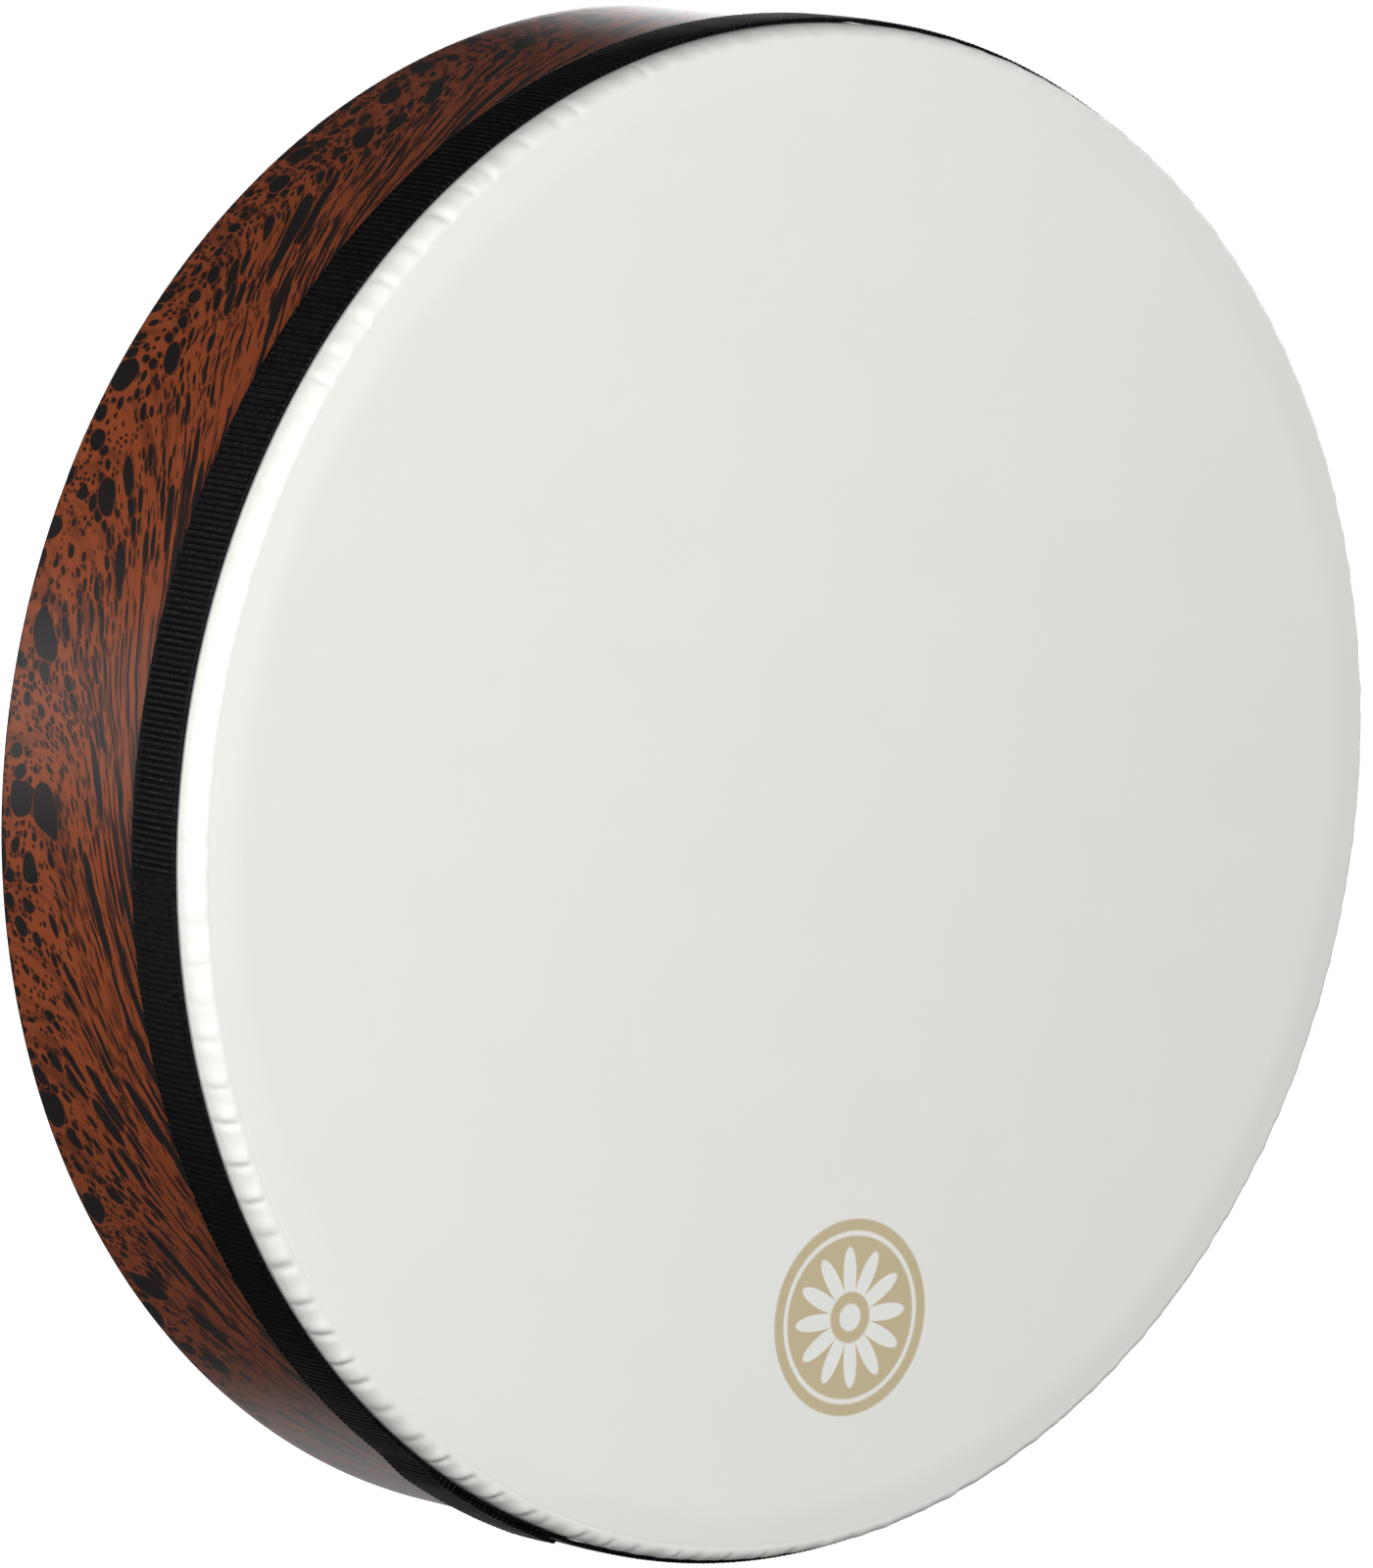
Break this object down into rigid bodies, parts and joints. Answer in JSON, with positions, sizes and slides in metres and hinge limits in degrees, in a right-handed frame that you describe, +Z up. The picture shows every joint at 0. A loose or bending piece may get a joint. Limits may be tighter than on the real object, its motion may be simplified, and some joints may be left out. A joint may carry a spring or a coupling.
{
  "type": "frame drum",
  "caption": "Shallow round hand drum with a burl-patterned wooden shell, a white synthetic head turned over its front edge, a black webbing band and tuning bolts hidden inside.",
  "frame": {"origin": "under the middle of the drum's depth, on the surface it stands on upright", "axes": "+Z up, -Y out of the playing surface along the drum's axis, +X to the right seen from the head's side"},
  "size_m": [0.462, 0.0952, 0.462],
  "materials": {
    "shell_wood": "satin laminate with a dark burl figure over orange-brown",
    "head_film": "coated polyester film, white, with a fine matt surface",
    "band_webbing": "ribbed woven webbing, black, slight sheen",
    "ring_wood": "plywood, clear satin lacquer",
    "lug_metal": "die-cast, black powder coat",
    "zinc_steel": "bright zinc plate",
    "cup_nylon": "moulded nylon, natural"
  },
  "bodies": {
    "shell": {"shell": "shell_wood", "head_skirt": "head_film", "edge_band": "band_webbing", "tuning_lug_1": "lug_metal", "lug_screw_1a": "zinc_steel", "lug_screw_1b": "zinc_steel", "tuning_lug_2": "lug_metal", "lug_screw_2a": "zinc_steel", "lug_screw_2b": "zinc_steel", "tuning_lug_3": "lug_metal", "lug_screw_3a": "zinc_steel", "lug_screw_3b": "zinc_steel", "tuning_lug_4": "lug_metal", "lug_screw_4a": "zinc_steel", "lug_screw_4b": "zinc_steel", "tuning_lug_5": "lug_metal", "lug_screw_5a": "zinc_steel", "lug_screw_5b": "zinc_steel", "tuning_lug_6": "lug_metal", "lug_screw_6a": "zinc_steel", "lug_screw_6b": "zinc_steel", "tuning_lug_7": "lug_metal", "lug_screw_7a": "zinc_steel", "lug_screw_7b": "zinc_steel", "tuning_lug_8": "lug_metal", "lug_screw_8a": "zinc_steel", "lug_screw_8b": "zinc_steel"},
    "tuning_ring": {"tuning_ring": "ring_wood", "head_membrane": "head_film"},
    "thrust_cup_1": {"thrust_cup_1": "cup_nylon"},
    "tuning_bolt_1": {"tuning_bolt_1": "zinc_steel"},
    "thrust_cup_2": {"thrust_cup_2": "cup_nylon"},
    "tuning_bolt_2": {"tuning_bolt_2": "zinc_steel"},
    "thrust_cup_3": {"thrust_cup_3": "cup_nylon"},
    "tuning_bolt_3": {"tuning_bolt_3": "zinc_steel"},
    "thrust_cup_4": {"thrust_cup_4": "cup_nylon"},
    "tuning_bolt_4": {"tuning_bolt_4": "zinc_steel"},
    "thrust_cup_5": {"thrust_cup_5": "cup_nylon"},
    "tuning_bolt_5": {"tuning_bolt_5": "zinc_steel"},
    "thrust_cup_6": {"thrust_cup_6": "cup_nylon"},
    "tuning_bolt_6": {"tuning_bolt_6": "zinc_steel"},
    "thrust_cup_7": {"thrust_cup_7": "cup_nylon"},
    "tuning_bolt_7": {"tuning_bolt_7": "zinc_steel"},
    "thrust_cup_8": {"thrust_cup_8": "cup_nylon"},
    "tuning_bolt_8": {"tuning_bolt_8": "zinc_steel"}
  },
  "joints": [
    {"name": "tuning_ring_slide", "type": "slide", "parent": "shell", "child": "tuning_ring", "axis": [0, -1, 0], "range_m": [-0.0012, 0.0012]},
    {"name": "thrust_cup_1_slide", "type": "slide", "parent": "shell", "child": "thrust_cup_1", "axis": [0, -1, 0], "range_m": [-0.0013, 0.0013]},
    {"name": "tuning_bolt_1_turn", "type": "hinge", "parent": "thrust_cup_1", "child": "tuning_bolt_1", "pos_m": [0.199, 0, 0.31345], "axis": [0, -1, 0], "range_deg": [-560, 560]},
    {"name": "thrust_cup_2_slide", "type": "slide", "parent": "shell", "child": "thrust_cup_2", "axis": [0, -1, 0], "range_m": [-0.0013, 0.0013]},
    {"name": "tuning_bolt_2_turn", "type": "hinge", "parent": "thrust_cup_2", "child": "tuning_bolt_2", "pos_m": [0.08243, 0, 0.43002], "axis": [0, -1, 0], "range_deg": [-560, 560]},
    {"name": "thrust_cup_3_slide", "type": "slide", "parent": "shell", "child": "thrust_cup_3", "axis": [0, -1, 0], "range_m": [-0.0013, 0.0013]},
    {"name": "tuning_bolt_3_turn", "type": "hinge", "parent": "thrust_cup_3", "child": "tuning_bolt_3", "pos_m": [-0.08243, 0, 0.43002], "axis": [0, -1, 0], "range_deg": [-560, 560]},
    {"name": "thrust_cup_4_slide", "type": "slide", "parent": "shell", "child": "thrust_cup_4", "axis": [0, -1, 0], "range_m": [-0.0013, 0.0013]},
    {"name": "tuning_bolt_4_turn", "type": "hinge", "parent": "thrust_cup_4", "child": "tuning_bolt_4", "pos_m": [-0.199, 0, 0.31345], "axis": [0, -1, 0], "range_deg": [-560, 560]},
    {"name": "thrust_cup_5_slide", "type": "slide", "parent": "shell", "child": "thrust_cup_5", "axis": [0, -1, 0], "range_m": [-0.0013, 0.0013]},
    {"name": "tuning_bolt_5_turn", "type": "hinge", "parent": "thrust_cup_5", "child": "tuning_bolt_5", "pos_m": [-0.199, 0, 0.14859], "axis": [0, -1, 0], "range_deg": [-560, 560]},
    {"name": "thrust_cup_6_slide", "type": "slide", "parent": "shell", "child": "thrust_cup_6", "axis": [0, -1, 0], "range_m": [-0.0013, 0.0013]},
    {"name": "tuning_bolt_6_turn", "type": "hinge", "parent": "thrust_cup_6", "child": "tuning_bolt_6", "pos_m": [-0.08243, 0, 0.03202], "axis": [0, -1, 0], "range_deg": [-560, 560]},
    {"name": "thrust_cup_7_slide", "type": "slide", "parent": "shell", "child": "thrust_cup_7", "axis": [0, -1, 0], "range_m": [-0.0013, 0.0013]},
    {"name": "tuning_bolt_7_turn", "type": "hinge", "parent": "thrust_cup_7", "child": "tuning_bolt_7", "pos_m": [0.08243, 0, 0.03202], "axis": [0, -1, 0], "range_deg": [-560, 560]},
    {"name": "thrust_cup_8_slide", "type": "slide", "parent": "shell", "child": "thrust_cup_8", "axis": [0, -1, 0], "range_m": [-0.0013, 0.0013]},
    {"name": "tuning_bolt_8_turn", "type": "hinge", "parent": "thrust_cup_8", "child": "tuning_bolt_8", "pos_m": [0.199, 0, 0.14859], "axis": [0, -1, 0], "range_deg": [-560, 560]}
  ],
  "couplings": [
    {"joint": "thrust_cup_1_slide", "follows": "tuning_ring_slide", "ratio": 1},
    {"joint": "tuning_bolt_1_turn", "follows": "tuning_ring_slide", "rad_per_m": 7854},
    {"joint": "thrust_cup_2_slide", "follows": "tuning_ring_slide", "ratio": 1},
    {"joint": "tuning_bolt_2_turn", "follows": "tuning_ring_slide", "rad_per_m": 7854},
    {"joint": "thrust_cup_3_slide", "follows": "tuning_ring_slide", "ratio": 1},
    {"joint": "tuning_bolt_3_turn", "follows": "tuning_ring_slide", "rad_per_m": 7854},
    {"joint": "thrust_cup_4_slide", "follows": "tuning_ring_slide", "ratio": 1},
    {"joint": "tuning_bolt_4_turn", "follows": "tuning_ring_slide", "rad_per_m": 7854},
    {"joint": "thrust_cup_5_slide", "follows": "tuning_ring_slide", "ratio": 1},
    {"joint": "tuning_bolt_5_turn", "follows": "tuning_ring_slide", "rad_per_m": 7854},
    {"joint": "thrust_cup_6_slide", "follows": "tuning_ring_slide", "ratio": 1},
    {"joint": "tuning_bolt_6_turn", "follows": "tuning_ring_slide", "rad_per_m": 7854},
    {"joint": "thrust_cup_7_slide", "follows": "tuning_ring_slide", "ratio": 1},
    {"joint": "tuning_bolt_7_turn", "follows": "tuning_ring_slide", "rad_per_m": 7854},
    {"joint": "thrust_cup_8_slide", "follows": "tuning_ring_slide", "ratio": 1},
    {"joint": "tuning_bolt_8_turn", "follows": "tuning_ring_slide", "rad_per_m": 7854}
  ]
}
